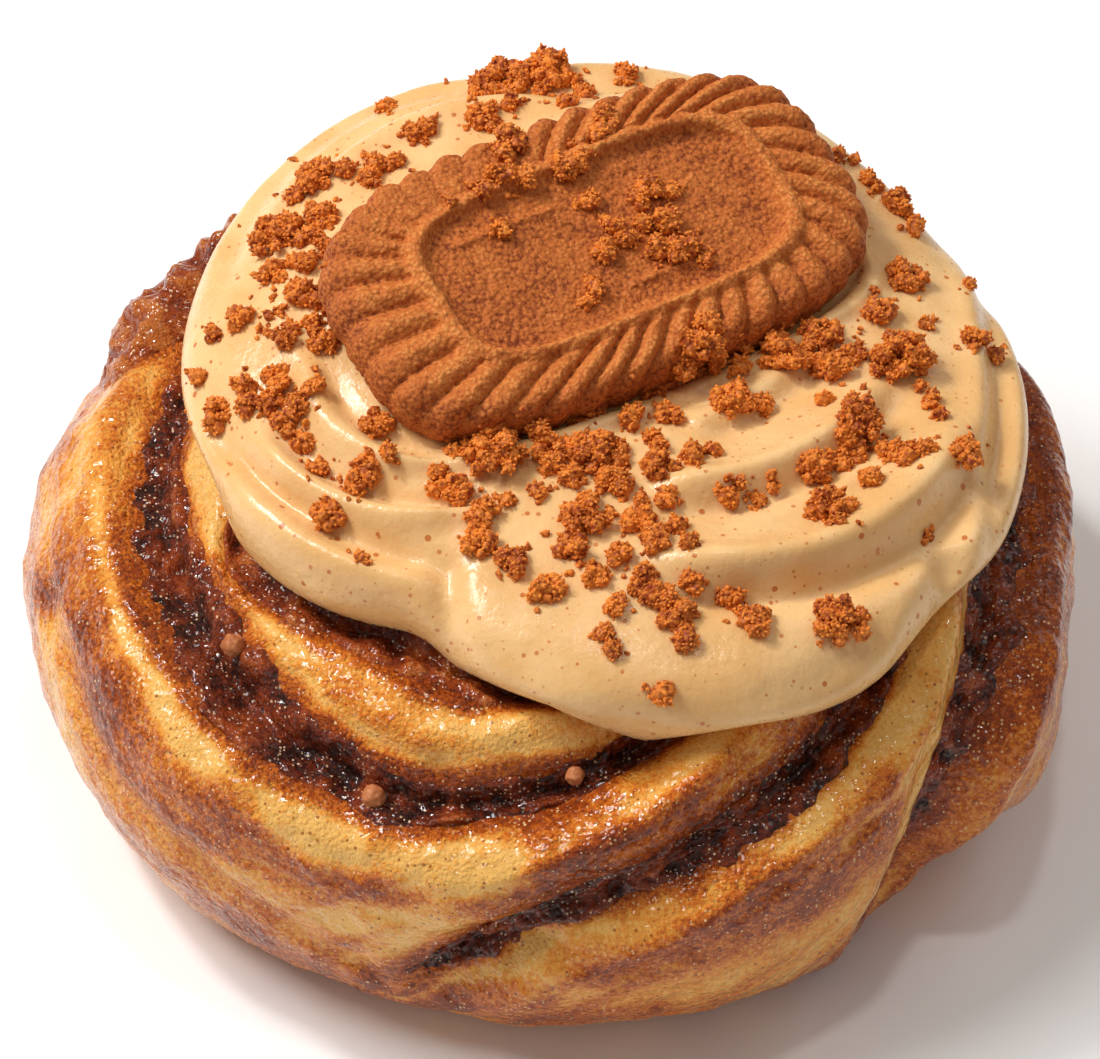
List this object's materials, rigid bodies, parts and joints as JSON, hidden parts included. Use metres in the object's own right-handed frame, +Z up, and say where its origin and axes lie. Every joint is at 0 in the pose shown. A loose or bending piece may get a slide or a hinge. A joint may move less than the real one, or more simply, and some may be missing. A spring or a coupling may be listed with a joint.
{
  "type": "cinnamon roll",
  "caption": "Round iced cinnamon roll of twisted dough with dark filling in its seams, a biscuit pressed into the icing and biscuit crumbs.",
  "frame": {"origin": "middle of the flat base that the roll rests on", "axes": "+Z up; -Y is the front, the side towards the picture's camera; +X is the picture's right"},
  "size_m": [0.1181, 0.1181, 0.0699],
  "materials": {
    "dough": "baked crust, golden to brown, slightly glossy",
    "filling": "sticky cinnamon sugar, glossy and grainy",
    "icing": "smooth caramel-coloured cream icing, soft gloss",
    "biscuit": "baked biscuit, matt and grainy"
  },
  "bodies": {
    "root": {"dough": "dough", "filling": "filling", "icing": "icing", "biscuit": "biscuit"}
  },
  "joints": []
}
